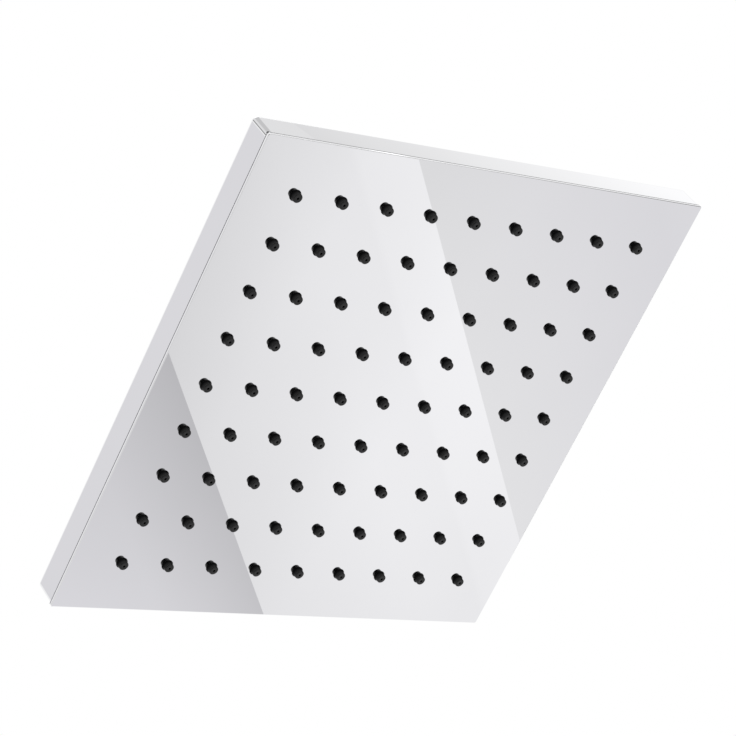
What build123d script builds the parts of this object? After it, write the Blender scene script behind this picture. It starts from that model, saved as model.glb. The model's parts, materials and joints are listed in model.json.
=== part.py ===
from build123d import *

import os
from math import cos, radians, sin, tan

# Square rain shower head with a ball swivel, in millimetres, +Z up.
# The origin is the centre of the inlet's mouth, and the spray face points down.

# Sheet metal of the head
head_side = 203.0
sheet = 1.0
pan_depth = 11.5
corner_inside = 1.0
bend_inside = 0.3
face_edge = 0.3

# Spray nozzles: silicone grommets, each with a tapered waterway
nozzle_count = 9
nozzle_margin = 21.5
hole_diameter = 3.8
nozzle_fit = 0.02
nozzle_flange = 6.0
nozzle_flange_height = 0.8
collar_diameter = 4.3
collar_proud = 0.3
spout_proud = 2.25
spout_base = 3.6
spout_tip = 3.4
nozzle_inlet = 2.2
nozzle_orifice = 0.9

# Inlet socket: G 1/2 female thread, as plain wall at its minor diameter
thread_diameter = 18.64
thread_height = 1.16
thread_length = 10.0
socket_wall = 2.0
socket_floor = 1.5
hex_sides = 6
hex_chamfer = 30.0
washer_slack = 0.12
washer_gap = 0.2
washer_thickness = 2.0
washer_hole = 11.0
screen_thickness = 0.4
screen_hole = 1.2
screen_pitch = 2.2
screen_rings = 2
regulator_diameter = 12.0
regulator_height = 4.0
regulator_holes = 6
regulator_circle = 4.6
regulator_hole = 1.4

# Ball swivel
ball_diameter = 22.0
neck_diameter = 12.0
neck_length = 16.0
waterway = 7.0
ball_flat_angle = 27.0
swivel_clearance = 0.05
ring_wall = 1.95
ring_top_angle = 52.0
ring_low_angle = 78.0
lip_angle = 50.0
lip_height = 0.8
lip_land = 2.2
seal_top_angle = 78.0
seal_low_angle = 39.0
seal_foot = 1.9

# Stub and nut
stub_wall = 2.4
stub_below_ball = 0.5
stub_floor = 3.5
stub_waterway = 12.0
flange_diameter = 44.0
flange_height = 3.0
spigot_diameter = 20.0
weld_clearance = 0.05
thread_clearance = 0.05
nut_wall = 3.0
nut_gap = 3.0
edge_break = 0.6
flute_count = 16
flute_radius = 2.0
flute_depth = 0.6
flute_end = 1.2

# Radii about the ball's centre
ball_radius = ball_diameter / 2
seat_radius = ball_radius + swivel_clearance
ring_radius = seat_radius + ring_wall
cavity_radius = ring_radius + swivel_clearance
stub_radius = cavity_radius + stub_wall
nut_bore = stub_radius + thread_clearance
nut_radius = nut_bore + nut_wall
thread_radius = thread_diameter / 2
relief_radius = thread_radius + thread_height
hex_flat = relief_radius + socket_wall

# Levels, from the inlet's mouth downwards
relief_z = -thread_length
washer_z = relief_z - washer_gap
screen_z = washer_z - washer_thickness
seat_z = screen_z - screen_thickness
pocket_z = seat_z - regulator_height
hex_z = pocket_z - socket_floor
ball_z = hex_z - neck_length
ball_flat_z = ball_z - ball_radius * cos(radians(ball_flat_angle))
seal_z = ball_z - seat_radius * cos(radians(seal_low_angle)) - seal_foot
back_z = seal_z - swivel_clearance - stub_floor
rim_z = back_z - pan_depth
face_z = rim_z - sheet
flange_z = back_z + flange_height
nut_z = flange_z + nut_gap
stub_z = ball_z - stub_below_ball
lip_z = ball_z + cavity_radius * cos(radians(lip_angle))
nut_top = lip_z + lip_height

corner_radius = corner_inside + sheet
nozzle_pitch = (head_side - 2 * nozzle_margin) / (nozzle_count - 1)


def on_sphere(radius, angle, side=1):
    """Point of a half section at an angle from the ball's upright axis, above or below its centre."""
    return (radius * sin(radians(angle)), ball_z + side * radius * cos(radians(angle)))


os.makedirs("parts", exist_ok=True)

# Back pan: one sheet, folded down all round, with a hole for the stub's spigot
with BuildPart() as back_pan:
    with BuildSketch(Plane.XY.offset(rim_z)):
        RectangleRounded(head_side, head_side, corner_radius)
    extrude(amount=pan_depth)
    fillet(back_pan.faces().sort_by(Axis.Z)[-1].edges(), bend_inside + sheet)
    offset(amount=-sheet, openings=back_pan.faces().sort_by(Axis.Z)[0])
    with Locations((0, 0, back_z)):
        Hole(spigot_diameter / 2 + weld_clearance, sheet)
back_pan.part.label = "back_pan"
export_step(back_pan.part, "parts/back_pan.step")

# Face plate: flat sheet welded to the pan's rim, punched for the nozzles. Its broken edges leave a
# fine groove all round, where it meets the rim
with BuildPart() as face_plate:
    with BuildSketch(Plane.XY.offset(face_z)):
        RectangleRounded(head_side, head_side, corner_radius)
        with GridLocations(nozzle_pitch, nozzle_pitch, nozzle_count, nozzle_count):
            Circle(hole_diameter / 2, mode=Mode.SUBTRACT)
    extrude(amount=sheet)
    flat_faces = face_plate.faces().sort_by(Axis.Z)
    seam_edges = flat_faces[-1].outer_wire().edges()
    chamfer(flat_faces[0].outer_wire().edges() + seam_edges, face_edge)
face_plate.part.label = "face_plate"
export_step(face_plate.part, "parts/face_plate.step")

# Nozzle: flange inside the plate, neck in the hole, thin collar outside it and a tapered spout
with BuildPart() as nozzle:
    with BuildSketch(Plane.XZ):
        with BuildLine():
            neck_radius = hole_diameter / 2 - nozzle_fit
            Polyline(
                (nozzle_inlet / 2, rim_z + nozzle_flange_height),
                (nozzle_flange / 2, rim_z + nozzle_flange_height),
                (nozzle_flange / 2, rim_z),
                (neck_radius, rim_z),
                (neck_radius, face_z),
                (collar_diameter / 2, face_z),
                (collar_diameter / 2, face_z - collar_proud),
                (spout_base / 2, face_z - collar_proud),
                (spout_tip / 2, face_z - spout_proud),
                (nozzle_orifice / 2, face_z - spout_proud),
                close=True,
            )
        make_face()
    revolve(axis=Axis.Z)

# Nozzle rows: the same nozzle in every hole, a row at a time
for row in range(nozzle_count):
    row_y = (row - (nozzle_count - 1) / 2) * nozzle_pitch
    with BuildPart() as nozzle_row:
        with Locations((0, row_y, 0)):
            with GridLocations(nozzle_pitch, nozzle_pitch, nozzle_count, 1):
                add(nozzle.part)
    nozzle_row.part.label = f"nozzle_row_{row + 1}"
    export_step(nozzle_row.part, f"parts/nozzle_row_{row + 1}.step")

# Inlet stub: turned boss on the pan, with a flange, a threaded barrel and a cup for the seal
with BuildPart() as inlet_stub:
    with BuildSketch(Plane.XZ):
        with BuildLine():
            Polyline(
                (stub_waterway / 2, back_z - sheet),
                (spigot_diameter / 2, back_z - sheet),
                (spigot_diameter / 2, back_z),
                (flange_diameter / 2, back_z),
                (flange_diameter / 2, flange_z),
                (stub_radius, flange_z),
                (stub_radius, stub_z),
                (cavity_radius, stub_z),
                (cavity_radius, seal_z - swivel_clearance),
                (stub_waterway / 2, seal_z - swivel_clearance),
                close=True,
            )
        make_face()
    revolve(axis=Axis.Z)
    flange_edges = inlet_stub.edges().filter_by(GeomType.CIRCLE).group_by(SortBy.RADIUS)[-1]
    chamfer(flange_edges.sort_by(Axis.Z)[-1], edge_break)
inlet_stub.part.label = "inlet_stub"
export_step(inlet_stub.part, "parts/inlet_stub.step")

# Ball seal: rubber cup with a round seat for the underside of the ball
with BuildPart() as ball_seal:
    with BuildSketch(Plane.XZ):
        with BuildLine():
            seat_top = on_sphere(seat_radius, seal_top_angle, -1)
            seat_mid = on_sphere(seat_radius, (seal_top_angle + seal_low_angle) / 2, -1)
            seat_low = on_sphere(seat_radius, seal_low_angle, -1)
            ThreePointArc(seat_top, seat_mid, seat_low)
            Polyline(
                seat_low,
                (seat_low[0], seal_z),
                (ring_radius, seal_z),
                (ring_radius, seat_top[1]),
                seat_top,
            )
        make_face()
    revolve(axis=Axis.Z)
ball_seal.part.label = "ball_seal"
export_step(ball_seal.part, "parts/ball_seal.step")

# Friction ring: nylon zone of a hollow ball, which turns between the ball and the nut
with BuildPart() as friction_ring:
    with BuildSketch(Plane.XZ):
        with BuildLine():
            middle_angle = (ring_top_angle + ring_low_angle) / 2
            inner_top = on_sphere(seat_radius, ring_top_angle)
            inner_low = on_sphere(seat_radius, ring_low_angle)
            outer_top = on_sphere(ring_radius, ring_top_angle)
            outer_low = on_sphere(ring_radius, ring_low_angle)
            ThreePointArc(inner_top, on_sphere(seat_radius, middle_angle), inner_low)
            Line(inner_low, outer_low)
            ThreePointArc(outer_low, on_sphere(ring_radius, middle_angle), outer_top)
            Line(outer_top, inner_top)
        make_face()
    revolve(axis=Axis.Z)
friction_ring.part.label = "friction_ring"
export_step(friction_ring.part, "parts/friction_ring.step")

# Ball nut: cap nut with a round cavity for the ring, a domed shoulder and an open lip
with BuildPart() as ball_nut:
    with BuildSketch(Plane.XZ):
        with BuildLine():
            lip_edge = on_sphere(cavity_radius, lip_angle)
            shoulder = (nut_radius, ball_z)
            crown = (lip_edge[0] + lip_land, nut_top)
            Polyline(
                (cavity_radius, ball_z),
                (cavity_radius, stub_z + thread_clearance),
                (nut_bore, stub_z + thread_clearance),
                (nut_bore, nut_z),
                (nut_radius, nut_z),
                shoulder,
            )
            TangentArc(shoulder, crown, tangent=(0, 1))
            Polyline(crown, (lip_edge[0], nut_top), lip_edge)
            ThreePointArc(
                lip_edge,
                on_sphere(cavity_radius, (lip_angle + 90) / 2),
                (cavity_radius, ball_z),
            )
        make_face()
    revolve(axis=Axis.Z)
    nut_foot = ball_nut.edges().filter_by(GeomType.CIRCLE).group_by(Axis.Z)[0]
    chamfer(nut_foot.sort_by(SortBy.RADIUS)[-1], edge_break)
    flute_height = ball_z - nut_z - 2 * flute_end
    with PolarLocations(nut_radius + flute_radius - flute_depth, flute_count):
        with Locations((0, 0, nut_z + flute_end + flute_height / 2)):
            Cylinder(flute_radius, flute_height, mode=Mode.SUBTRACT)
ball_nut.part.label = "ball_nut"
export_step(ball_nut.part, "parts/ball_nut.step")

# Swivel ball: hexagon with the inlet socket, neck and ball, turned from one bar with a waterway through it
with BuildPart() as swivel_ball:
    with BuildSketch(Plane.XY.offset(hex_z)):
        RegularPolygon(hex_flat, hex_sides, major_radius=False)
    extrude(amount=-hex_z)
    corner_cut = hex_flat / cos(radians(180 / hex_sides)) - hex_flat
    corner_drop = corner_cut * tan(radians(hex_chamfer))
    with BuildSketch(Plane.XZ):
        with BuildLine():
            Polyline(
                (0, 0),
                (hex_flat, 0),
                (hex_flat + corner_cut, -corner_drop),
                (hex_flat + corner_cut, hex_z + corner_drop),
                (hex_flat, hex_z),
                (0, hex_z),
                close=True,
            )
        make_face()
    revolve(axis=Axis.Z, mode=Mode.INTERSECT)
    with BuildSketch(Plane.XY.offset(hex_z)):
        Circle(neck_diameter / 2)
    extrude(amount=-neck_length)
    with Locations((0, 0, ball_z)):
        Sphere(ball_radius)
    split(bisect_by=Plane.XY.offset(ball_flat_z), keep=Keep.TOP)
    with BuildSketch(Plane.XZ):
        with BuildLine():
            Polyline(
                (0, 0),
                (thread_radius, 0),
                (thread_radius, relief_z),
                (relief_radius, relief_z),
                (relief_radius, seat_z),
                (regulator_diameter / 2, seat_z),
                (regulator_diameter / 2, pocket_z),
                (waterway / 2, pocket_z),
                (waterway / 2, ball_flat_z),
                (0, ball_flat_z),
                close=True,
            )
        make_face()
    revolve(axis=Axis.Z, mode=Mode.SUBTRACT)
swivel_ball.part.label = "swivel_ball"
export_step(swivel_ball.part, "parts/swivel_ball.step")

# Inlet washer: rubber ring below the thread, which seals on the end of the shower arm
washer_radius = thread_radius - washer_slack
with BuildPart() as inlet_washer:
    with BuildSketch(Plane.XY.offset(screen_z)):
        Circle(washer_radius)
        Circle(washer_hole / 2, mode=Mode.SUBTRACT)
    extrude(amount=washer_thickness)
inlet_washer.part.label = "inlet_washer"
export_step(inlet_washer.part, "parts/inlet_washer.step")

# Filter screen: punched strainer disc that the washer holds down on its seat
with BuildPart() as filter_screen:
    with BuildSketch(Plane.XY.offset(seat_z)):
        Circle(washer_radius)
        Circle(screen_hole / 2, mode=Mode.SUBTRACT)
        for ring in range(1, screen_rings + 1):
            with PolarLocations(ring * screen_pitch, 6 * ring):
                Circle(screen_hole / 2, mode=Mode.SUBTRACT)
    extrude(amount=screen_thickness)
filter_screen.part.label = "filter_screen"
export_step(filter_screen.part, "parts/filter_screen.step")

# Flow regulator: plastic insert in the pocket under the screen
with BuildPart() as flow_regulator:
    with BuildSketch(Plane.XY.offset(pocket_z)):
        Circle(regulator_diameter / 2 - weld_clearance)
        with PolarLocations(regulator_circle / 2, regulator_holes):
            Circle(regulator_hole / 2, mode=Mode.SUBTRACT)
    extrude(amount=regulator_height)
flow_regulator.part.label = "flow_regulator"
export_step(flow_regulator.part, "parts/flow_regulator.step")
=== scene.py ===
import json
import math

import bmesh
import bpy
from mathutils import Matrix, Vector


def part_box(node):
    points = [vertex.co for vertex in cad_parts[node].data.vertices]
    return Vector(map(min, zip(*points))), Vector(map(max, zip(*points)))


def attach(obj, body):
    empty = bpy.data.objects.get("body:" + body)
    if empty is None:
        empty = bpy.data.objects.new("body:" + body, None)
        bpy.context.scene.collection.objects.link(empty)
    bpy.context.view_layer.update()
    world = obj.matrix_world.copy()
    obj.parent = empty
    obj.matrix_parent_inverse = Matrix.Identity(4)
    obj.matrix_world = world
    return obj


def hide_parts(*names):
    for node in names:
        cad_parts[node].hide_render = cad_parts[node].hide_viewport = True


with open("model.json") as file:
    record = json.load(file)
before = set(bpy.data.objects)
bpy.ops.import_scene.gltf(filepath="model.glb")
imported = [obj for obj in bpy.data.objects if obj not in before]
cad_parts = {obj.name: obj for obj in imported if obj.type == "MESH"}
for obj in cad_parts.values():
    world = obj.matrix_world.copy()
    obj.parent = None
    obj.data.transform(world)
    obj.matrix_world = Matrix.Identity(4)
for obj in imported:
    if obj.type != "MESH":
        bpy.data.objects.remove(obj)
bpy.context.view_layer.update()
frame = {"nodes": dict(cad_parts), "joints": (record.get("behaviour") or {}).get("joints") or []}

# Back pan: one sheet of stainless steel, 1 mm thick, folded down all round and polished to a mirror.
# Its corners are welded and ground smooth, its rim is broken, and a round hole takes the stub's spigot.
mm = 0.001
pan_low, pan_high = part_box("back_pan")
head_side = pan_high.x - pan_low.x
back_z = pan_high.z
rim_z = pan_low.z
sheet = 1.0 * mm
pan_corner = 2.0 * mm
corner_steps = 8
bend_radius = 1.3 * mm
bend_steps = 6
rim_break = 0.3 * mm
spigot_hole = 10.05 * mm
spigot_sides = 64
cutter_length = 4 * sheet
level_slack = 0.01 * mm
wall_lean = 0.1
steel_tones = ((0.835, 0.835, 0.848), (0.86, 0.86, 0.873))
steel_dullness = (0.003, 0.01)
steel_clouds = 18


def clear_selection():
    """Leaves nothing selected, as every step below needs."""
    if bpy.context.object and bpy.context.object.mode == "EDIT":
        bpy.ops.object.mode_set(mode="OBJECT")
    bpy.ops.object.select_all(action="DESELECT")


def take(piece):
    """Makes a piece the only selected and active one."""
    clear_selection()
    piece.select_set(True)
    bpy.context.view_layer.objects.active = piece


def pick(piece, kind, wanted):
    """In edit mode, selects the corners, edges or faces that answer to a test."""
    bpy.ops.mesh.select_mode(type=kind)
    bpy.ops.mesh.select_all(action="DESELECT")
    mesh = bmesh.from_edit_mesh(piece.data)
    for item in {"VERT": mesh.verts, "EDGE": mesh.edges, "FACE": mesh.faces}[kind]:
        if wanted(item):
            item.select_set(True)
    mesh.select_flush_mode()
    bmesh.update_edit_mesh(piece.data)


def call(piece, name):
    """Gives a piece and its mesh one name."""
    piece.name = name
    piece.data.name = name
    return piece


def block(name, size, centre):
    """A box of a given size at its place, with its place in its mesh, left in edit mode."""
    clear_selection()
    bpy.ops.mesh.primitive_cube_add(size=1, location=centre, scale=size)
    bpy.ops.object.transform_apply(location=True, rotation=True, scale=True)
    bpy.ops.object.mode_set(mode="EDIT")
    return call(bpy.context.object, name)


def rod(radius, length, centre, sides):
    """A round bar along Z, with its place in its mesh, which cuts a hole or a flute."""
    clear_selection()
    bpy.ops.mesh.primitive_cylinder_add(vertices=sides, radius=radius, depth=length, location=centre)
    bpy.ops.object.transform_apply(location=True)
    return bpy.context.object


def upright(edge):
    """True for an edge that stands along Z."""
    run = edge.verts[1].co - edge.verts[0].co
    return run.xy.length < level_slack


def at_level(item, level):
    """True where all the corners of an edge or face lie at one height."""
    return all(abs(corner.co.z - level) < level_slack for corner in item.verts)


def outside_rim(edge):
    """True for an edge of the pan's rim on the outside of its wall."""
    walls = [face for face in edge.link_faces if abs(face.normal.z) < wall_lean]
    outward = [face.calc_center_median().dot(face.normal) > 0 for face in walls]
    return at_level(edge, rim_z) and outward == [True]


def cut(piece, tool, operation="DIFFERENCE"):
    """Cuts a piece with a tool solid, joins it or keeps what they share, and removes the tool."""
    take(piece)
    boolean = piece.modifiers.new("cut", "BOOLEAN")
    boolean.operation = operation
    boolean.solver = "EXACT"
    boolean.object = tool
    bpy.ops.object.modifier_apply(modifier="cut")
    bpy.data.objects.remove(tool, do_unlink=True)


def even_shading(piece, sharp_angle=30):
    """Rounds the shading over soft edges and keeps the flat faces flat."""
    take(piece)
    bpy.ops.object.shade_smooth_by_angle(angle=math.radians(sharp_angle))
    piece.modifiers.new("even", "WEIGHTED_NORMAL").keep_sharp = True
    bpy.ops.object.modifier_apply(modifier="even")


back_pan = block("pan_shell", (head_side, head_side, back_z - rim_z), (0, 0, (back_z + rim_z) / 2))
pick(back_pan, "EDGE", upright)
bpy.ops.mesh.bevel(offset=pan_corner, segments=corner_steps)
pick(back_pan, "EDGE", lambda edge: at_level(edge, back_z))
bpy.ops.mesh.bevel(offset=bend_radius, segments=bend_steps)
pick(back_pan, "FACE", lambda face: at_level(face, rim_z))
bpy.ops.mesh.delete(type="FACE")
take(back_pan)
wall = back_pan.modifiers.new("wall", "SOLIDIFY")
wall.thickness = sheet
wall.offset = -1
wall.use_even_offset = True
bpy.ops.object.modifier_apply(modifier="wall")
cut(back_pan, rod(spigot_hole, cutter_length, (0, 0, back_z), spigot_sides))
bpy.ops.object.mode_set(mode="EDIT")
pick(back_pan, "EDGE", outside_rim)
bpy.ops.mesh.bevel(offset=rim_break, segments=1)
even_shading(back_pan)


def node(tree, kind, **settings):
    """Adds a node. A setting whose name is an input's goes on that socket."""
    made = tree.nodes.new("ShaderNode" + kind)
    for name, value in settings.items():
        key = name.replace("_", " ")
        if key in made.inputs:
            made.inputs[key].default_value = value
        else:
            setattr(made, name, value)
    return made


def link(tree, *pairs):
    """Joins outputs to inputs, a pair at a time."""
    for source, target in pairs:
        tree.links.new(source, target)


def new_group(name, numbers, results):
    """A node group with a Vector input, inputs for numbers with their first values, and its results."""
    group = bpy.data.node_groups.new(name, "ShaderNodeTree")
    group.interface.new_socket(name="Vector", in_out="INPUT", socket_type="NodeSocketVector")
    for label, value in numbers.items():
        made = group.interface.new_socket(name=label, in_out="INPUT", socket_type="NodeSocketFloat")
        made.default_value = value
    for label in results:
        group.interface.new_socket(name=label, in_out="OUTPUT", socket_type="NodeSocketFloat")
    return group, group.nodes.new("NodeGroupInput").outputs, group.nodes.new("NodeGroupOutput").inputs


# Polish marks: the faint clouds and hairlines that buffing leaves on metal
hairline_stretch = (40, 900, 900)
hairline_turn = math.radians(45)
hairline_share = 0.35
polish, polish_in, polish_out = new_group(
    "polish_marks",
    {"Cloud size": 30, "Smoothest": 0.02, "Dullest": 0.06},
    ("Roughness", "Tone"),
)
clouds = node(polish, "TexNoise", Detail=4, Roughness=0.55)
stretch = node(polish, "Mapping", Scale=hairline_stretch, Rotation=(0, 0, hairline_turn))
hairlines = node(polish, "TexNoise", Scale=1, Detail=2, Roughness=0.5)
mixed = node(polish, "Math", operation="MULTIPLY_ADD")
mixed.inputs[1].default_value = hairline_share
spread = node(polish, "MapRange", From_Min=0.35, From_Max=0.95)
link(
    polish,
    (polish_in["Vector"], clouds.inputs["Vector"]),
    (polish_in["Cloud size"], clouds.inputs["Scale"]),
    (polish_in["Vector"], stretch.inputs["Vector"]),
    (stretch.outputs["Vector"], hairlines.inputs["Vector"]),
    (hairlines.outputs["Fac"], mixed.inputs[0]),
    (clouds.outputs["Fac"], mixed.inputs[2]),
    (mixed.outputs["Value"], spread.inputs["Value"]),
    (polish_in["Smoothest"], spread.inputs["To Min"]),
    (polish_in["Dullest"], spread.inputs["To Max"]),
    (spread.outputs["Result"], polish_out["Roughness"]),
    (clouds.outputs["Fac"], polish_out["Tone"]),
)


def start_material(name, group, tones, dullness, **settings):
    """A material with its tone and dullness from a group of surface marks, its shader and those marks."""
    mix_share, mix_dark, mix_pale, mix_result = 0, 6, 7, 2
    material = bpy.data.materials.new(name)
    material.use_nodes = True
    tree = material.node_tree
    shader = tree.nodes["Principled BSDF"]
    marks = node(tree, "Group", node_tree=group, Smoothest=dullness[0], Dullest=dullness[1], **settings)
    tone = node(tree, "Mix", data_type="RGBA")
    tone.inputs[mix_dark].default_value = (*tones[0], 1)
    tone.inputs[mix_pale].default_value = (*tones[1], 1)
    link(
        tree,
        (node(tree, "TexCoord").outputs["Object"], marks.inputs["Vector"]),
        (marks.outputs["Tone"], tone.inputs[mix_share]),
        (tone.outputs[mix_result], shader.inputs["Base Color"]),
        (marks.outputs["Roughness"], shader.inputs["Roughness"]),
    )
    return material, shader, marks


def bright_metal(name, tones, dullness, cloud_size):
    """Polished metal whose tone and gloss change faintly over its surface."""
    material, shader, _ = start_material(name, polish, tones, dullness, Cloud_size=cloud_size)
    shader.inputs["Metallic"].default_value = 1
    return material


steel = bright_metal("polished_steel", steel_tones, steel_dullness, steel_clouds)
back_pan.data.materials.append(steel)
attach(back_pan, "head")
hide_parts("back_pan")

# Face plate: flat stainless sheet of the same thickness, laser cut with a hole for each nozzle and welded
# to the pan's rim. Its edges are broken all round, and a fine groove is left where it meets the pan.
face_z = rim_z - sheet
plate_corner = 0.8 * mm
plate_edge = 0.28 * mm
edge_steps = 4
plate_break = 0.06 * mm
nozzle_count = 9
nozzle_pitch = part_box("nozzle_row_2")[0].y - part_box("nozzle_row_1")[0].y
first_nozzle = -nozzle_pitch * (nozzle_count - 1) / 2
hole_radius = 1.9 * mm
hole_sides = 40


def repeat(piece, count, step):
    """Copies a piece in a row, as one mesh."""
    take(piece)
    row = piece.modifiers.new("row", "ARRAY")
    row.count = count
    row.use_relative_offset = False
    row.use_constant_offset = True
    row.constant_offset_displace = step
    bpy.ops.object.modifier_apply(modifier="row")


face_plate = block("spray_face", (head_side, head_side, sheet), (0, 0, (rim_z + face_z) / 2))
pick(face_plate, "EDGE", upright)
bpy.ops.mesh.bevel(offset=plate_corner, segments=corner_steps)
pick(face_plate, "EDGE", lambda edge: at_level(edge, face_z))
bpy.ops.mesh.bevel(offset=plate_edge, segments=edge_steps)
pick(face_plate, "EDGE", lambda edge: at_level(edge, rim_z))
bpy.ops.mesh.bevel(offset=plate_break, segments=1)
punch = rod(hole_radius, cutter_length, (first_nozzle, first_nozzle, face_z), hole_sides)
repeat(punch, nozzle_count, (nozzle_pitch, 0, 0))
repeat(punch, nozzle_count, (0, nozzle_pitch, 0))
cut(face_plate, punch)
even_shading(face_plate)
face_plate.data.materials.append(steel)
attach(face_plate, "head")
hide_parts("face_plate")

# Seam: the laser weld between the plate and the rim, a dull dark line that nearly fills the groove. Its dark
# colour is partly the weld's own and partly painted shade for the groove. It starts and ends at one corner,
# where it stands a little higher, and its dark there is painted shade for the gap at that corner.
seam_depth = 0.03 * mm
seam_height = 0.33 * mm
seam_width = 0.7 * mm
seam_rise = 0.12 * mm
weld_end_and_shade_rise = 0.45 * mm
flat_lean = 0.9
# Dark colour of the seam: partly the weld's own, partly painted shade in the groove and the corner gap
weld_and_shade_tones = ((0.08, 0.08, 0.085), (0.13, 0.13, 0.135))
weld_dullness = (0.45, 0.65)
weld_clouds = 300

seam_side = head_side - 2 * seam_depth
start_corner = head_side / 2 - plate_corner
seam = block("rim_seam", (seam_side, seam_side, seam_height), (0, 0, rim_z + seam_rise))
pick(seam, "EDGE", upright)
bpy.ops.mesh.bevel(offset=plate_corner - seam_depth, segments=corner_steps)
pick(seam, "FACE", lambda face: abs(face.normal.z) > flat_lean)
bpy.ops.mesh.inset(thickness=seam_width, use_even_offset=True)
bpy.ops.mesh.bridge_edge_loops()
# The seam rises at one corner, where its dark colour is painted shade for the gap between plate and pan
pick(seam, "VERT", lambda spot: spot.co.z > rim_z and max(spot.co.x, spot.co.y) < -start_corner)
bpy.ops.transform.translate(value=(0, 0, weld_end_and_shade_rise))
even_shading(seam)
# Dark metal for the seam, partly the weld's own colour and partly painted shade
weld_and_painted_shade = bright_metal("weld_and_shade_line", weld_and_shade_tones, weld_dullness, weld_clouds)
seam.data.materials.append(weld_and_painted_shade)
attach(seam, "head")

# Nozzles: black silicone grommets, moulded in one shot each. A flange holds one inside the plate, a thin
# collar covers the hole's edge outside, and a tapered waterway runs through to a fine orifice at the tip.
# Their sizes are in millimetres, as are those of every turned piece below.
nozzle_flange = 3.0
nozzle_flange_top = 0.8
nozzle_neck = 1.88
nozzle_collar = 2.28
collar_proud = 0.28
spout_base = 2.0
spout_tip = 1.8
spout_proud = 2.18
nozzle_inlet = 1.1
nozzle_orifice = 0.45
nozzle_sides = 40
flange_round = 0.2
collar_round = 0.14
tip_round = 0.25
orifice_round = 0.1
round_steps = 3
merge_gap = 0.001 * mm
silicone_tones = ((0.0025, 0.0025, 0.0028), (0.004, 0.004, 0.0043))
silicone_dullness = (0.2, 0.3)
silicone_gloss = 0.03
tip_gloss = 0.64
tip_haze = 0.25
gloss_below_collar = 0.2
gloss_above_tip = 0.1


def outline(section):
    """A closed loop of corners at (radius, height), in millimetres, on the XZ plane."""
    clear_selection()
    bpy.ops.mesh.primitive_circle_add(vertices=len(section), radius=mm, fill_type="NOTHING")
    piece = bpy.context.object
    for corner, (radius, height) in zip(piece.data.vertices, section):
        corner.co = (radius * mm, 0, height * mm)
    return piece


def turned(name, section, rounds, sides):
    """Spins a closed half section round the upright axis. rounds gives the radius at the corners that are
    softened, by their number in the section."""
    piece = call(outline(section), name)
    bpy.ops.object.mode_set(mode="EDIT")
    corners = {number: Vector((section[number][0] * mm, 0, section[number][1] * mm)) for number in rounds}
    for number, softness in rounds.items():
        pick(piece, "VERT", lambda corner: (corner.co - corners[number]).length < merge_gap)
        bpy.ops.mesh.bevel(affect="VERTICES", offset=softness * mm, segments=round_steps, clamp_overlap=True)
    bpy.ops.mesh.select_all(action="SELECT")
    bpy.ops.mesh.spin(steps=sides, angle=math.tau, center=(0, 0, 0), axis=(0, 0, 1))
    bpy.ops.mesh.select_all(action="SELECT")
    bpy.ops.mesh.remove_doubles(threshold=merge_gap)
    bpy.ops.mesh.normals_make_consistent(inside=False)
    bpy.ops.object.mode_set(mode="OBJECT")
    return piece


def shift(piece, step):
    """Moves a piece's mesh, so that its object stays at the origin."""
    take(piece)
    bpy.ops.object.mode_set(mode="EDIT")
    bpy.ops.mesh.select_all(action="SELECT")
    bpy.ops.transform.translate(value=step)
    bpy.ops.object.mode_set(mode="OBJECT")


inside = rim_z / mm
outside = face_z / mm
tip = outside - spout_proud
nozzle = turned(
    "nozzle_row_1_silicone",
    [
        (nozzle_inlet, inside + nozzle_flange_top),
        (nozzle_flange, inside + nozzle_flange_top),
        (nozzle_flange, inside),
        (nozzle_neck, inside),
        (nozzle_neck, outside),
        (nozzle_collar, outside),
        (nozzle_collar, outside - collar_proud),
        (spout_base, outside - collar_proud),
        (spout_tip, tip),
        (nozzle_orifice, tip),
    ],
    {1: flange_round, 6: collar_round, 7: collar_round, 8: tip_round, 9: orifice_round},
    nozzle_sides,
)
shift(nozzle, (first_nozzle, first_nozzle, 0))
repeat(nozzle, nozzle_count, (nozzle_pitch, 0, 0))
even_shading(nozzle)

# Moulded skin: the fine matt grain and faint patches of moulded rubber and plastic
grain_depth = 0.02 * mm
grain_strength = 0.15
grain, grain_in, grain_out = new_group(
    "moulded_skin",
    {"Grain size": 2000, "Smoothest": 0.4, "Dullest": 0.6},
    ("Roughness", "Tone", "Height"),
)
patches = node(grain, "TexNoise", Scale=60, Detail=3)
pits = node(grain, "TexNoise", Detail=2)
dulled = node(grain, "MapRange", From_Min=0.3, From_Max=0.7)
link(
    grain,
    (grain_in["Vector"], patches.inputs["Vector"]),
    (grain_in["Vector"], pits.inputs["Vector"]),
    (grain_in["Grain size"], pits.inputs["Scale"]),
    (patches.outputs["Fac"], dulled.inputs["Value"]),
    (grain_in["Smoothest"], dulled.inputs["To Min"]),
    (grain_in["Dullest"], dulled.inputs["To Max"]),
    (dulled.outputs["Result"], grain_out["Roughness"]),
    (patches.outputs["Fac"], grain_out["Tone"]),
    (pits.outputs["Fac"], grain_out["Height"]),
)


def moulded(name, tones, dullness, gloss, grain_size=2500):
    """Moulded rubber or plastic, with its grain as bump and a plain gloss."""
    material, shader, skin = start_material(name, grain, tones, dullness, Grain_size=grain_size)
    tree = material.node_tree
    bump = node(tree, "Bump", Strength=grain_strength, Distance=grain_depth)
    link(
        tree,
        (skin.outputs["Height"], bump.inputs["Height"]),
        (bump.outputs["Normal"], shader.inputs["Normal"]),
    )
    shader.inputs["Specular IOR Level"].default_value = gloss
    return material


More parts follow.
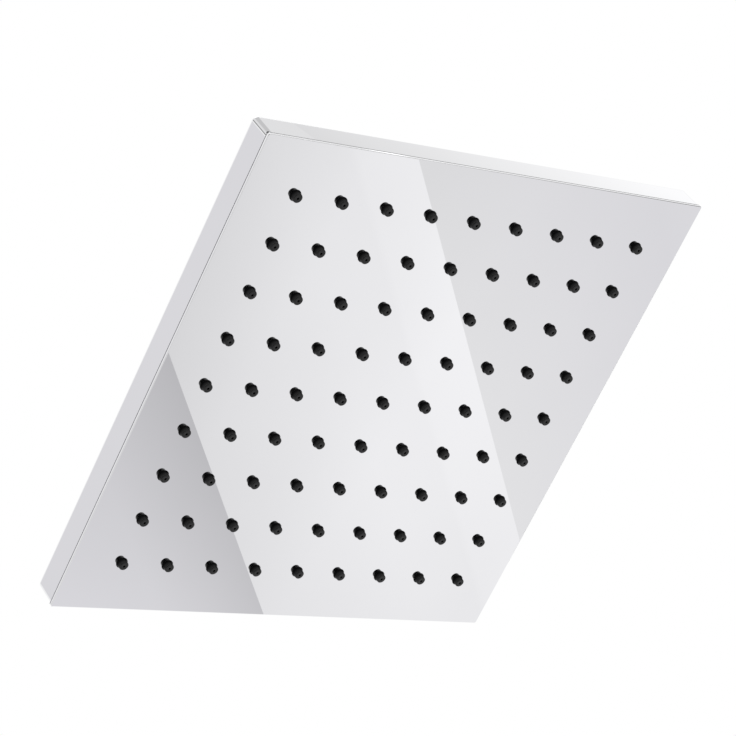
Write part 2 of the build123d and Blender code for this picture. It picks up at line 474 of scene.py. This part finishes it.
silicone = moulded("black_silicone", silicone_tones, silicone_dullness, silicone_gloss)
skin_tree = silicone.node_tree
skin_shader = skin_tree.nodes["Principled BSDF"]
skin_shader.inputs["Coat Roughness"].default_value = tip_haze
heights = node(skin_tree, "SeparateXYZ")
rubbed = node(
    skin_tree,
    "MapRange",
    From_Min=(outside - collar_proud - gloss_below_collar) * mm,
    From_Max=(tip + gloss_above_tip) * mm,
    To_Min=0,
    To_Max=tip_gloss,
)
link(
    skin_tree,
    (node(skin_tree, "TexCoord").outputs["Object"], heights.inputs["Vector"]),
    (heights.outputs["Z"], rubbed.inputs["Value"]),
    (rubbed.outputs["Result"], skin_shader.inputs["Coat Weight"]),
)
nozzle.data.materials.append(silicone)
for row in range(nozzle_count):
    silicone_row = nozzle
    if row:
        take(nozzle)
        bpy.ops.object.duplicate(linked=False)
        silicone_row = call(bpy.context.object, f"nozzle_row_{row + 1}_silicone")
        shift(silicone_row, (0, row * nozzle_pitch, 0))
    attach(silicone_row, "head")
    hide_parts(f"nozzle_row_{row + 1}")

# Inlet stub: turned brass boss, chromed, and brazed to the back of the pan. It has a wide flange, a fine
# outside thread for the nut and a cup for the seal, with a waterway through its floor.
stub_low, stub_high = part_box("inlet_stub")
spigot_foot = stub_low.z / mm
pan_back = back_z / mm
barrel_top = stub_high.z / mm
spigot_radius = 10.0
stub_waterway = 6.0
flange_radius = 22.0
flange_top = pan_back + 3.0
barrel_radius = 14.75
cup_radius = 13.05
cup_floor = pan_back + 3.5
flange_edge_round = 0.6
barrel_root_round = 0.4
barrel_top_round = 0.5
turned_sides = 96
stub_thread_root = 14.6
stub_thread_crest = 15.44
stub_thread_foot = 0.7
stub_thread_land = 0.12
stub_thread_pitch = 1.5
stub_thread_turns = 5
stub_thread_start = -43.9
thread_steps = 48
chrome_tones = ((0.80, 0.805, 0.81), (0.84, 0.845, 0.85))
chrome_dullness = (0.03, 0.07)
chrome_clouds = 40

stub = turned(
    "stub_boss",
    [
        (stub_waterway, spigot_foot),
        (spigot_radius, spigot_foot),
        (spigot_radius, pan_back),
        (flange_radius, pan_back),
        (flange_radius, flange_top),
        (barrel_radius, flange_top),
        (barrel_radius, barrel_top),
        (cup_radius, barrel_top),
        (cup_radius, cup_floor),
        (stub_waterway, cup_floor),
    ],
    {4: flange_edge_round, 5: barrel_root_round, 6: barrel_top_round},
    turned_sides,
)


def wind(root, crest, foot, land, pitch, turns, start):
    """Winds a thread's ridge by the Screw modifier and closes its ends. foot and land are half its widths at
    its root and its crest, and start is the height of its first turn."""
    ridge = outline(
        [(root, start - foot), (crest, start - land), (crest, start + land), (root, start + foot)]
    )
    screw = ridge.modifiers.new("thread", "SCREW")
    screw.axis = "Z"
    screw.angle = math.tau
    screw.screw_offset = pitch * mm
    screw.iterations = turns
    screw.steps = thread_steps
    screw.render_steps = thread_steps
    screw.use_merge_vertices = False
    bpy.ops.object.modifier_apply(modifier="thread")
    bpy.ops.object.mode_set(mode="EDIT")
    pick(ridge, "EDGE", lambda edge: len(edge.link_faces) == 1)
    bpy.ops.mesh.edge_face_add()
    bpy.ops.mesh.select_all(action="SELECT")
    bpy.ops.mesh.normals_make_consistent(inside=False)
    bpy.ops.object.mode_set(mode="OBJECT")
    return ridge


def join(piece, other):
    """Adds another mesh to a piece's own."""
    take(piece)
    other.select_set(True)
    bpy.ops.object.join()


stub_thread = wind(
    stub_thread_root,
    stub_thread_crest,
    stub_thread_foot,
    stub_thread_land,
    stub_thread_pitch,
    stub_thread_turns,
    stub_thread_start,
)
join(stub, stub_thread)
even_shading(stub)
chrome = bright_metal("chromed_brass", chrome_tones, chrome_dullness, chrome_clouds)
stub.data.materials.append(chrome)
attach(stub, "head")
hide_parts("inlet_stub")

# Ball seal: a cup of black rubber, moulded in one piece and laid in the stub under the ball. Its round seat
# keeps the swivel tight, and a hole in its floor lets the water through.
ball_z = frame["joints"][0]["pos_m"][2] / mm
seat_radius = 11.05
seat_top_angle = 102
seat_low_angle = 141
seat_steps = 12
seal_radius = 13.0
seal_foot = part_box("ball_seal")[0].z / mm
seal_lip = -36.4
seal_sides = 64
round_angle = 40
rubber_tones = ((0.012, 0.012, 0.012), (0.02, 0.02, 0.02))
rubber_dullness = (0.5, 0.7)
rubber_gloss = 0.35


def arc(radius, first, last, count, centre=(0, ball_z)):
    """Points of a round line about a centre, at angles from the upright axis."""
    angles = [math.radians(first + (last - first) * part / (count - 1)) for part in range(count)]
    return [(centre[0] + radius * math.sin(angle), centre[1] + radius * math.cos(angle)) for angle in angles]


seat = arc(seat_radius, seat_top_angle, seat_low_angle, seat_steps)
seal_hole = seat[-1][0]
seal = turned(
    "ball_seal_rubber",
    seat + [(seal_hole, seal_foot), (seal_radius, seal_foot), (seal_radius, seal_lip)],
    {},
    seal_sides,
)
even_shading(seal, round_angle)
rubber = moulded("seal_rubber", rubber_tones, rubber_dullness, rubber_gloss)
seal.data.materials.append(rubber)
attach(seal, "lower_seat")
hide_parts("ball_seal")

# Friction ring: natural nylon, turned as a zone of a hollow ball. It lies loose between the ball and the
# nut, and lets the ball turn under the nut's lip.
ring_radius = 13.0
ring_top_angle = 52
ring_low_angle = 78
ring_steps = 10
nylon_tones = ((0.62, 0.60, 0.54), (0.70, 0.68, 0.62))
nylon_dullness = (0.35, 0.5)
nylon_gloss = 0.5
nylon_grain = 1200

ring = turned(
    "friction_ring_nylon",
    arc(seat_radius, ring_top_angle, ring_low_angle, ring_steps)
    + arc(ring_radius, ring_low_angle, ring_top_angle, ring_steps),
    {},
    seal_sides,
)
even_shading(ring, round_angle)
nylon = moulded("natural_nylon", nylon_tones, nylon_dullness, nylon_gloss, nylon_grain)
ring.data.materials.append(nylon)
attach(ring, "upper_seat")
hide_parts("friction_ring")

# Ball nut: chromed brass cap nut with a domed shoulder and sixteen finger flutes. It screws down over the
# stub's thread and holds the ball under its open lip.
nut_radius = 18.5
nut_bore = 15.5
nut_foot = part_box("ball_nut")[0].z / mm
bore_top = -34.55
cavity_radius = 13.05
cavity_low_angle = 86
cavity_steps = 8
lip_angle = 50
lip_land = 2.2
lip_height = 0.8
dome_steps = 26
nut_sides = 128
foot_round = 0.6
crown_round = 0.35
lip_round = 0.3
flute_count = 16
flute_radius = 2.0
flute_depth = 0.6
flute_end = 1.2
flute_sides = 32
flute_softness = 0.15 * mm
soft_steps = 2
soft_angle = math.radians(35)
sliver_width = 0.01 * mm
needle_width = 0.002 * mm

cavity = arc(cavity_radius, lip_angle, cavity_low_angle, cavity_steps)
lip_radius, lip_z = cavity[0]
crown = (lip_radius + lip_land, lip_z + lip_height)
dome_run = nut_radius - crown[0]
dome_rise = crown[1] - ball_z
dome_radius = (dome_run**2 + dome_rise**2) / (2 * dome_run)
crown_angle = math.degrees(math.asin((dome_radius - dome_run) / dome_radius))
dome = arc(dome_radius, 90, crown_angle, dome_steps, (nut_radius - dome_radius, ball_z))
foot = [
    (cavity_radius, ball_z),
    (cavity_radius, bore_top),
    (nut_bore, bore_top),
    (nut_bore, nut_foot),
    (nut_radius, nut_foot),
]
crown_corner = len(foot) + len(dome) - 1
nut = turned(
    "nut_cap",
    foot + dome[:-1] + [crown, (lip_radius, crown[1])] + cavity,
    {len(foot) - 1: foot_round, crown_corner: crown_round, crown_corner + 1: lip_round},
    nut_sides,
)
flute_height = ball_z - nut_foot - 2 * flute_end
flute_out = nut_radius + flute_radius - flute_depth
flute_z = nut_foot + flute_end + flute_height / 2
flutes = rod(flute_radius * mm, flute_height * mm, (flute_out * mm, 0, flute_z * mm), flute_sides)
bpy.ops.object.mode_set(mode="EDIT")
bpy.ops.mesh.select_all(action="SELECT")
bpy.ops.mesh.spin(steps=flute_count, dupli=True, angle=math.tau, center=(0, 0, 0), axis=(0, 0, 1))
bpy.ops.mesh.select_all(action="SELECT")
bpy.ops.mesh.remove_doubles(threshold=merge_gap)
bpy.ops.mesh.normals_make_consistent(inside=False)
cut(nut, flutes)
soften = nut.modifiers.new("soften", "BEVEL")
soften.width = flute_softness
soften.segments = soft_steps
soften.limit_method = "ANGLE"
soften.angle_limit = soft_angle
bpy.ops.object.modifier_apply(modifier="soften")


def merge_slivers(piece):
    """Closes up the slivers that cuts and softened edges leave where they meet."""
    take(piece)
    bpy.ops.object.mode_set(mode="EDIT")
    bpy.ops.mesh.select_mode(type="VERT")
    bpy.ops.mesh.select_all(action="SELECT")
    bpy.ops.mesh.remove_doubles(threshold=sliver_width)
    bpy.ops.mesh.dissolve_degenerate(threshold=needle_width)
    bpy.ops.object.mode_set(mode="OBJECT")


merge_slivers(nut)
even_shading(nut)
nut.data.materials.append(chrome)
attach(nut, "head")
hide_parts("ball_nut")

# Swivel ball: one chromed brass turning. The hexagon takes a spanner and holds the half inch inlet thread,
# and a neck joins it to the ball, which has a waterway through it.
regulator_low, regulator_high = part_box("flow_regulator")
pocket_floor = regulator_low.z / mm
screen_seat = regulator_high.z / mm
pocket_radius = 6.0
socket_floor = 1.5
hex_sides = 6
hex_turn = math.pi / hex_sides
hex_flat = 12.48
hex_z = pocket_floor - socket_floor
hex_edge = 0.25
hex_edge_steps = 3
hex_chamfer = math.radians(30)
corner_cut = hex_flat / math.cos(hex_turn) - hex_flat
corner_drop = corner_cut * math.tan(hex_chamfer)
mouth_break = 0.3
neck_radius = 6.0
neck_round = 0.8
ball_radius = 11.0
ball_steps = 40
ball_flat = 27
flat_round = 0.3
waterway = 3.5
past_metal = 1.0
thread_minor = 9.32
thread_major = 10.48
thread_sunk = 0.1
thread_foot = 0.87
thread_land = 0.2
thread_pitch = 1.814
thread_turns = 4
thread_start = -9.1

clear_selection()
bpy.ops.mesh.primitive_cylinder_add(
    vertices=hex_sides,
    radius=(hex_flat + corner_cut) * mm,
    depth=-hex_z * mm,
    location=(0, 0, hex_z / 2 * mm),
    rotation=(0, 0, hex_turn),
)
swivel = call(bpy.context.object, "swivel_hexagon")
bpy.ops.object.transform_apply(location=True, rotation=True)
bpy.ops.object.mode_set(mode="EDIT")
pick(swivel, "EDGE", upright)
bpy.ops.mesh.bevel(offset=hex_edge * mm, segments=hex_edge_steps)
chamfer = turned(
    "chamfer",
    [
        (0, 0),
        (hex_flat, 0),
        (hex_flat + 2 * corner_cut, -2 * corner_drop),
        (hex_flat + 2 * corner_cut, hex_z + 2 * corner_drop),
        (hex_flat, hex_z),
        (0, hex_z),
    ],
    {},
    turned_sides,
)
cut(swivel, chamfer, "INTERSECT")
neck_angle = math.degrees(math.asin(neck_radius / ball_radius))
ball_flat_z = ball_z - ball_radius * math.cos(math.radians(ball_flat))
neck = [(0, hex_z + past_metal), (neck_radius, hex_z + past_metal)]
ball = turned(
    "ball",
    neck + arc(ball_radius, neck_angle, 180 - ball_flat, ball_steps) + [(0, ball_flat_z)],
    {len(neck): neck_round, len(neck) + ball_steps - 1: flat_round},
    turned_sides,
)
cut(swivel, ball, "UNION")
bore = turned(
    "bore",
    [
        (0, past_metal),
        (thread_major + mouth_break + past_metal, past_metal),
        (thread_major, -mouth_break),
        (thread_major, screen_seat),
        (pocket_radius, screen_seat),
        (pocket_radius, pocket_floor),
        (waterway, pocket_floor),
        (waterway, ball_flat_z + mouth_break),
        (waterway + mouth_break + past_metal, ball_flat_z - past_metal),
        (0, ball_flat_z - past_metal),
    ],
    {},
    turned_sides,
)
cut(swivel, bore)
merge_slivers(swivel)
inlet_thread = wind(
    thread_major + thread_sunk,
    thread_minor,
    thread_foot,
    thread_land,
    thread_pitch,
    thread_turns,
    thread_start,
)
join(swivel, inlet_thread)
even_shading(swivel)
swivel.data.materials.append(chrome)
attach(swivel, "inlet")
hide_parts("swivel_ball")

# Inlet washer: flat ring of black rubber, punched from sheet. It lies loose in the relief below the
# thread, on top of the strainer, and seals against the end of the shower arm.
washer_low, washer_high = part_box("inlet_washer")
washer_radius = 9.2
washer_hole = 5.5
washer_round = 0.15
washer_sides = 64
washer_section = [
    (washer_hole, washer_low.z / mm),
    (washer_radius, washer_low.z / mm),
    (washer_radius, washer_high.z / mm),
    (washer_hole, washer_high.z / mm),
]
washer_rounds = {number: washer_round for number in range(len(washer_section))}
washer = turned("washer_rubber", washer_section, washer_rounds, washer_sides)
even_shading(washer, round_angle)
washer.data.materials.append(rubber)
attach(washer, "inlet")
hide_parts("inlet_washer")

# Filter screen and flow regulator: a punched steel strainer over a small acetal insert with six jets. Both
# lie loose in the inlet under the washer, and keep the frame's own solids.
screen_tones = ((0.55, 0.55, 0.54), (0.66, 0.66, 0.65))
screen_dullness = (0.2, 0.35)
screen_clouds = 400
acetal_tones = ((0.74, 0.74, 0.72), (0.8, 0.8, 0.78))
acetal_dullness = (0.35, 0.5)
acetal_gloss = 0.45
acetal_grain = 1500

screen_steel = bright_metal("screen_steel", screen_tones, screen_dullness, screen_clouds)
acetal = moulded("regulator_acetal", acetal_tones, acetal_dullness, acetal_gloss, acetal_grain)
for name, finish in (("filter_screen", screen_steel), ("flow_regulator", acetal)):
    solid = frame["nodes"][name]
    solid.data.materials.clear()
    solid.data.materials.append(finish)

# Stage: a plain pale floor, far below as in a shower, which keeps the head's shadow and fades to white far
# away. The surround is white too. Metal mirrors both as plain white. Lengths from here on are in metres.
floor_z = -2.0
floor_side = 60
floor_near = 3.0
floor_far = 14.0
floor_tone = 0.88
floor_dullness = 0.9
surround_level = 0.9
white = (1, 1, 1, 1)


def largest(tree, first, *others):
    """The largest of several values."""
    for other in others:
        both = node(tree, "Math", operation="MAXIMUM")
        link(tree, (first, both.inputs[0]), (other, both.inputs[1]))
        first = both.outputs["Value"]
    return first


def show(tree, output, share, plain, bright):
    """Puts out a plain shader where share is 0 and a bright one where it is 1."""
    shown = node(tree, "MixShader")
    link(
        tree,
        (share, shown.inputs[0]),
        (plain.outputs[0], shown.inputs[1]),
        (bright.outputs[0], shown.inputs[2]),
        (shown.outputs[0], tree.nodes[output].inputs["Surface"]),
    )


clear_selection()
bpy.ops.mesh.primitive_plane_add(size=floor_side, location=(0, 0, floor_z))
bpy.ops.object.transform_apply(location=True)
floor = call(bpy.context.object, "floor")
floor_paint = bpy.data.materials.new("floor_paint")
floor_paint.use_nodes = True
paint = floor_paint.node_tree
matt = paint.nodes["Principled BSDF"]
matt.inputs["Base Color"].default_value = (floor_tone, floor_tone, floor_tone, 1)
matt.inputs["Roughness"].default_value = floor_dullness
rays = node(paint, "LightPath").outputs
distance = node(paint, "VectorMath", operation="LENGTH")
fade = node(paint, "MapRange", interpolation_type="SMOOTHSTEP", From_Min=floor_near, From_Max=floor_far)
link(
    paint,
    (node(paint, "TexCoord").outputs["Object"], distance.inputs[0]),
    (distance.outputs["Value"], fade.inputs["Value"]),
)
whitened = largest(paint, rays["Is Glossy Ray"], rays["Is Transmission Ray"], fade.outputs["Result"])
show(paint, "Material Output", whitened, matt, node(paint, "Emission", Color=white, Strength=1))
floor.data.materials.append(floor_paint)

world = bpy.data.worlds.new("studio")
bpy.context.scene.world = world
world.use_nodes = True
sky = world.node_tree
soft = sky.nodes["Background"]
soft.inputs["Color"].default_value = white
soft.inputs["Strength"].default_value = surround_level
rays = node(sky, "LightPath").outputs
seen = largest(sky, rays["Is Camera Ray"], rays["Is Glossy Ray"], rays["Is Transmission Ray"])
show(sky, "World Output", seen, soft, node(sky, "Background", Color=white, Strength=1))

# Reflectors: grey and white cards that only the polished metal mirrors, as in a product studio. Three below
# make the fields in the face, two stand along the pan's walls and others round its corners and edges. Dark
# strips give the swivel its lines, and dark boards lie on the floor.


def around(first, second):
    """The four corners of a rectangle between two spans, in order."""
    return [(first[0], second[0]), (first[1], second[0]), (first[1], second[1]), (first[0], second[1])]


def board(name, corners, *runs):
    """A flat card through four corners, which only mirrors see. Its glow changes along one or more directions
    in the room. A run is a direction and its stops, which are (metres along it, colour), and the runs'
    colours multiply."""
    clear_selection()
    bpy.ops.mesh.primitive_plane_add(size=1)
    card = call(bpy.context.object, name)
    for corner, place in zip(card.data.vertices, (corners[0], corners[1], corners[3], corners[2])):
        corner.co = place
    card.visible_camera = False
    card.visible_diffuse = False
    card.visible_transmission = False
    card.visible_shadow = False
    material = bpy.data.materials.new(name + "_tones")
    material.use_nodes = True
    tree = material.node_tree
    tree.nodes.remove(tree.nodes["Principled BSDF"])
    place = node(tree, "TexCoord").outputs["Object"]
    glow = node(tree, "Emission", Strength=1)
    colour = None
    for direction, stops in runs:
        start, end = stops[0][0], stops[-1][0]
        distance = node(tree, "VectorMath", operation="DOT_PRODUCT")
        distance.inputs[1].default_value = direction
        span = node(tree, "MapRange", From_Min=start, From_Max=end)
        ramp = node(tree, "ValToRGB")
        for metres, _ in stops[1:-1]:
            ramp.color_ramp.elements.new((metres - start) / (end - start))
        for element, (_, shade) in zip(ramp.color_ramp.elements, stops):
            element.color = (*shade, 1)
        link(
            tree,
            (place, distance.inputs[0]),
            (distance.outputs["Value"], span.inputs["Value"]),
            (span.outputs["Result"], ramp.inputs["Fac"]),
        )
        if colour is None:
            colour = ramp.outputs["Color"]
            continue
        both = node(tree, "VectorMath", operation="MULTIPLY")
        link(tree, (colour, both.inputs[0]), (ramp.outputs["Color"], both.inputs[1]))
        colour = both.outputs["Vector"]
    link(
        tree,
        (colour, glow.inputs["Color"]),
        (glow.outputs[0], tree.nodes["Material Output"].inputs["Surface"]),
    )
    card.data.materials.append(material)


def grey(level, violet=0.0):
    """A grey with a little violet in it."""
    return (level, level * (1 - violet / 3), level * (1 + violet))


# The three cards for the face lie side by side, each with its own tones across them and on the slant
card_turn = math.radians(49.4)
along = Vector((math.cos(card_turn), math.sin(card_turn), 0))
across = Vector((math.sin(card_turn), -math.cos(card_turn), 0))
card_z = floor_z + 0.05
card_near = 1.04
card_far = 3.04
for name, near_sides, far_sides, across_stops, slant_stops in (
    (
        "grey_card",
        (-0.6, 0.297),
        (-0.6, 0.282),
        [
            (-0.32, grey(1.0)),
            (0.02, grey(0.871, 0.025)),
            (0.15, grey(0.794, 0.022)),
            (0.29, grey(0.62, 0.02)),
        ],
        [(2.0, grey(0.9)), (2.25, grey(0.955)), (2.45, grey(1.015)), (2.65, grey(1.05))],
    ),
    (
        "white_card",
        (0.297, 0.691),
        (0.282, 0.697),
        [
            (0.29, grey(0.857, 0.006)),
            (0.45, grey(0.912, 0.006)),
            (0.52, grey(0.938, 0.006)),
            (0.604, grey(0.944, 0.006)),
            (0.616, grey(0.967, 0.006)),
            (0.694, grey(0.985, 0.006)),
        ],
        [
            (2.0, grey(0.9)),
            (2.25, grey(1.0)),
            (2.45, grey(1.017)),
            (2.65, grey(1.061)),
            (2.85, grey(1.05)),
            (3.1, grey(1.014)),
        ],
    ),
    (
        "pale_card",
        (0.691, 1.6),
        (0.697, 1.6),
        [
            (0.694, grey(0.844, 0.004)),
            (0.85, grey(0.812, 0.014)),
            (1.02, grey(0.767, 0.022)),
            (1.5, grey(0.87)),
        ],
        [(2.4, grey(0.989)), (2.65, grey(1.036)), (2.88, grey(1.05)), (3.1, grey(1.05))],
    ),
):
    near = [across * side + along * card_near for side in near_sides]
    far = [across * side + along * card_far for side in reversed(far_sides)]
    corners = [place + Vector((0, 0, card_z)) for place in near + far]
    board(name, corners, (across, across_stops), (along + across, slant_stops))

# Two boards stand beyond the pan's two front walls, which mirror them
wall_board_heights = (1.2, 1.4)
left_board_x = -1.152
left_board_span = (0.55, 1.2)
left_board_stops = [(0.2, grey(0.815, 0.02)), (1.6, grey(0.79, 0.02))]
top_board_y = -0.754
top_board_span = (0.93, 1.65)
top_board_stops = [(0.95, grey(0.785)), (1.55, grey(1.118))]
left_corners = [(left_board_x, y, z) for y, z in around(left_board_span, wall_board_heights)]
top_corners = [(x, top_board_y, z) for x, z in around(top_board_span, wall_board_heights)]
board("left_board", left_corners, ((0, 1, 0), left_board_stops))
board("top_board", top_corners, ((1, 0, 0), top_board_stops))


def fan(name, bearings, heights, reach, level, edge):
    """A card that stands round the head between two bearings and two heights, in degrees. Its tone goes from
    edge at its two sides to level within them."""
    places = []
    for bearing, height in around(bearings, heights):
        turn, rise = math.radians(bearing), math.radians(height)
        out = Vector((math.cos(turn) * math.cos(rise), math.sin(turn) * math.cos(rise), math.sin(rise)))
        places.append(reach * out)
    run = (places[1] - places[0]).normalized()
    start, end = places[0].dot(run), places[1].dot(run)
    fade = (end - start) / 4
    stops = [(start, grey(edge)), (start + fade, grey(level)), (end - fade, grey(level)), (end, grey(edge))]
    board(name, places, (run, stops))


fan("corner_strip", bearings=(176, 194), heights=(41, 54), reach=1.5, level=0.3, edge=0.5)
fan("corner_gap", bearings=(194, 226), heights=(39, 52), reach=1.5, level=0.84, edge=0.82)
fan("corner_card", bearings=(226, 304), heights=(34, 50), reach=1.5, level=0.64, edge=0.74)
fan("corner_end", bearings=(304, 322), heights=(41, 54), reach=1.5, level=0.86, edge=0.86)
fan("edge_card", bearings=(-62, -52), heights=(-38, 12), reach=3.0, level=0.85, edge=0.8)
fan("edge_flag", bearings=(-52, -12), heights=(-38, 12), reach=3.0, level=0.04, edge=0.8)
fan("left_flag", bearings=(139, 168), heights=(-36, 36), reach=2.2, level=0.7, edge=0.82)
strip_half_width = 5
for number, bearing in enumerate((22, 68, 112, 202, 248)):
    strip = (bearing - strip_half_width, bearing + strip_half_width)
    fan(f"dark_strip_{number + 1}", bearings=strip, heights=(-14, 26), reach=2.6, level=0.04, edge=0.12)

# Dark boards lie on the floor where the face mirrors them in views from other sides
dark = grey(0.09)
half_dark = grey(0.35)
pale = grey(0.75)
for name, x_span, y_span, direction, stops in (
    (
        "under_board",
        (-2.3, 0.2),
        (-2.3, 1.5),
        (0, 1, 0),
        [(-2.3, half_dark), (-1.9, dark), (0.45, dark), (0.65, pale), (1.5, pale)],
    ),
    ("flank_board", (0.2, 1.6), (-2.3, -0.8), (0, 1, 0), [(-2.3, half_dark), (-1.9, dark), (-0.8, dark)]),
    ("side_board", (1.6, 4.2), (-3.2, -0.55), (1, 0, 0), [(1.6, grey(0.9)), (2.1, dark), (4.2, dark)]),
):
    board(name, [(x, y, card_z) for x, y in around(x_span, y_span)], (direction, stops))

# Light: two square lamps with soft fronts, a large one overhead and a smaller one at the side, both aimed at
# the head. They stand at a plain level, and the white surround fills the shadows.
aim = Vector((0, 0, -0.04))
for name, place, size, power in (
    ("overhead_lamp", (0.6, -1.2, 2.2), 2.0, 14),
    ("side_lamp", (-2.2, 0.8, 0.8), 1.6, 7),
):
    lamp = bpy.data.lights.new(name, "AREA")
    lamp.shape = "SQUARE"
    lamp.size = size
    lamp.energy = power
    holder = bpy.data.objects.new(name, lamp)
    bpy.context.scene.collection.objects.link(holder)
    holder.location = place
    holder.rotation_euler = (aim - Vector(place)).to_track_quat("-Z", "Y").to_euler()

# Camera: a long lens below the head, at the photograph's angle. Its focal length in pixels and its place come
# from the lines and the nozzles of the photograph, whose picture is square.
picture_side = 736
focal_pixels = 2771.6
camera_place = (-0.6347, -0.4325, -0.7483)
camera_turns = (139.752, 27.540, -27.375)
view = bpy.data.cameras.new("camera")
view.sensor_width = 36
view.lens = focal_pixels / picture_side * view.sensor_width
view.clip_end = 200
camera = bpy.data.objects.new("camera", view)
bpy.context.scene.collection.objects.link(camera)
camera.location = camera_place
camera.rotation_euler = [math.radians(turn) for turn in camera_turns]
bpy.context.scene.camera = camera

bpy.context.scene.view_settings.view_transform = "Standard"
